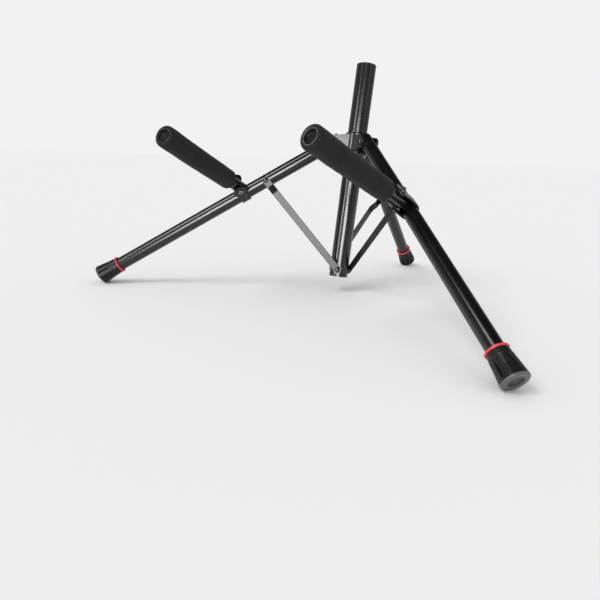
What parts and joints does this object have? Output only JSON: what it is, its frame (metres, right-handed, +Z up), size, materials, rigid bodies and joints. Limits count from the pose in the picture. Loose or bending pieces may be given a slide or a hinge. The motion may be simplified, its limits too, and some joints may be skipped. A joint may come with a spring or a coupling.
{
  "type": "folding amplifier stand",
  "caption": "Folding tripod stand for an amplifier or speaker cabinet: black tube legs on a sliding hub, flat braces, rubber feet with red bands and two padded arms that fold up along the front legs.",
  "frame": {"origin": "on the floor, straight below the place where the axes of the three legs meet on the post", "axes": "+Z up, -Y to the front where the arms point, +X to the right seen from the front; the post leans back towards +Y"},
  "size_m": [0.7222, 0.5942, 0.3774],
  "materials": {
    "powder_coat": "glossy black powder coat on steel tube",
    "satin_steel": "satin black coated flat steel",
    "zinc_steel": "bright zinc-plated steel",
    "black_rubber": "moulded matte black rubber",
    "red_rubber": "smooth red rubber",
    "black_plastic": "fine-textured black plastic",
    "foam": "closed-cell black foam sleeve",
    "nylon": "natural nylon"
  },
  "bodies": {
    "post": {"post_tube": "powder_coat", "post_top_cap": "black_plastic", "post_end_plug": "black_plastic", "brace_rivet_low_left": "zinc_steel", "brace_rivet_low_right": "zinc_steel", "brace_rivet_low_rear": "zinc_steel"},
    "hub": {"hub_collar": "powder_coat", "hub_pin_left": "zinc_steel", "hub_pin_right": "zinc_steel", "hub_pin_rear": "zinc_steel"},
    "knob": {"clamp_knob": "black_plastic", "clamp_screw": "zinc_steel"},
    "leg_left": {"leg_tube_left": "powder_coat", "leg_plug_left": "black_plastic", "foot_left": "black_rubber", "foot_band_left": "red_rubber", "arm_bracket_left": "satin_steel", "bracket_rivet_left": "zinc_steel", "arm_pin_left": "zinc_steel"},
    "brace_left": {"brace_left": "satin_steel", "brace_rivet_top_left": "zinc_steel"},
    "leg_right": {"leg_tube_right": "powder_coat", "leg_plug_right": "black_plastic", "foot_right": "black_rubber", "foot_band_right": "red_rubber", "arm_bracket_right": "satin_steel", "bracket_rivet_right": "zinc_steel", "arm_pin_right": "zinc_steel"},
    "brace_right": {"brace_right": "satin_steel", "brace_rivet_top_right": "zinc_steel"},
    "leg_rear": {"leg_tube_rear": "powder_coat", "leg_plug_rear": "black_plastic", "foot_rear": "black_rubber", "foot_band_rear": "red_rubber"},
    "brace_rear": {"brace_rear": "satin_steel", "brace_rivet_top_rear": "zinc_steel"},
    "arm_left": {"arm_tube_left": "powder_coat", "foam_sleeve_left": "foam", "arm_cap_left": "black_plastic", "arm_washers_left": "nylon"},
    "arm_right": {"arm_tube_right": "powder_coat", "foam_sleeve_right": "foam", "arm_cap_right": "black_plastic", "arm_washers_right": "nylon"}
  },
  "joints": [
    {"name": "hub_slide", "type": "slide", "parent": "post", "child": "hub", "axis": [0, 0.1616, 0.9869], "range_m": [0, 0.10602]},
    {"name": "leg_left_hinge", "type": "hinge", "parent": "hub", "child": "leg_left", "pos_m": [-0.03187, -0.02487, 0.25037], "axis": [0.5446, -0.8276, 0.1355], "range_deg": [0, 47.1]},
    {"name": "brace_left_hinge", "type": "hinge", "parent": "post", "child": "brace_left", "pos_m": [-0.00335, -0.04069, 0.03916], "axis": [-0.5446, 0.8276, -0.1355], "range_deg": [0, 31.2]},
    {"name": "leg_right_hinge", "type": "hinge", "parent": "hub", "child": "leg_right", "pos_m": [0.03187, -0.02487, 0.25037], "axis": [0.5446, 0.8276, -0.1355], "range_deg": [0, 47.1]},
    {"name": "brace_right_hinge", "type": "hinge", "parent": "post", "child": "brace_right", "pos_m": [0.00335, -0.04069, 0.03916], "axis": [-0.5446, -0.8276, 0.1355], "range_deg": [0, 31.2]},
    {"name": "leg_rear_hinge", "type": "hinge", "parent": "hub", "child": "leg_rear", "pos_m": [0, 0.03306, 0.24089], "axis": [-1, 0, 0], "range_deg": [0, 47.1]},
    {"name": "brace_rear_hinge", "type": "hinge", "parent": "post", "child": "brace_rear", "pos_m": [0, -0.0346, 0.03816], "axis": [1, 0, 0], "range_deg": [0, 31.2]},
    {"name": "arm_left_hinge", "type": "hinge", "parent": "leg_left", "child": "arm_left", "pos_m": [-0.14276, -0.14275, 0.17595], "axis": [-0.6783, 0.19, 0.7098], "range_deg": [0, 100]},
    {"name": "arm_right_hinge", "type": "hinge", "parent": "leg_right", "child": "arm_right", "pos_m": [0.14276, -0.14275, 0.17595], "axis": [-0.6783, -0.19, -0.7098], "range_deg": [0, 100]},
    {"name": "clamp_turn", "type": "hinge", "parent": "hub", "child": "knob", "pos_m": [-0.02649, 0.00945, 0.24475], "axis": [-0.8829, 0.4633, -0.0759], "range_deg": [0, 360]}
  ],
  "couplings": [
    {"joint": "leg_left_hinge", "follows": "hub_slide", "rad_per_m": 7.754},
    {"joint": "brace_left_hinge", "follows": "hub_slide", "rad_per_m": 5.1372},
    {"joint": "leg_right_hinge", "follows": "hub_slide", "rad_per_m": 7.754},
    {"joint": "brace_right_hinge", "follows": "hub_slide", "rad_per_m": 5.1372},
    {"joint": "leg_rear_hinge", "follows": "hub_slide", "rad_per_m": 7.754},
    {"joint": "brace_rear_hinge", "follows": "hub_slide", "rad_per_m": 5.1372}
  ]
}
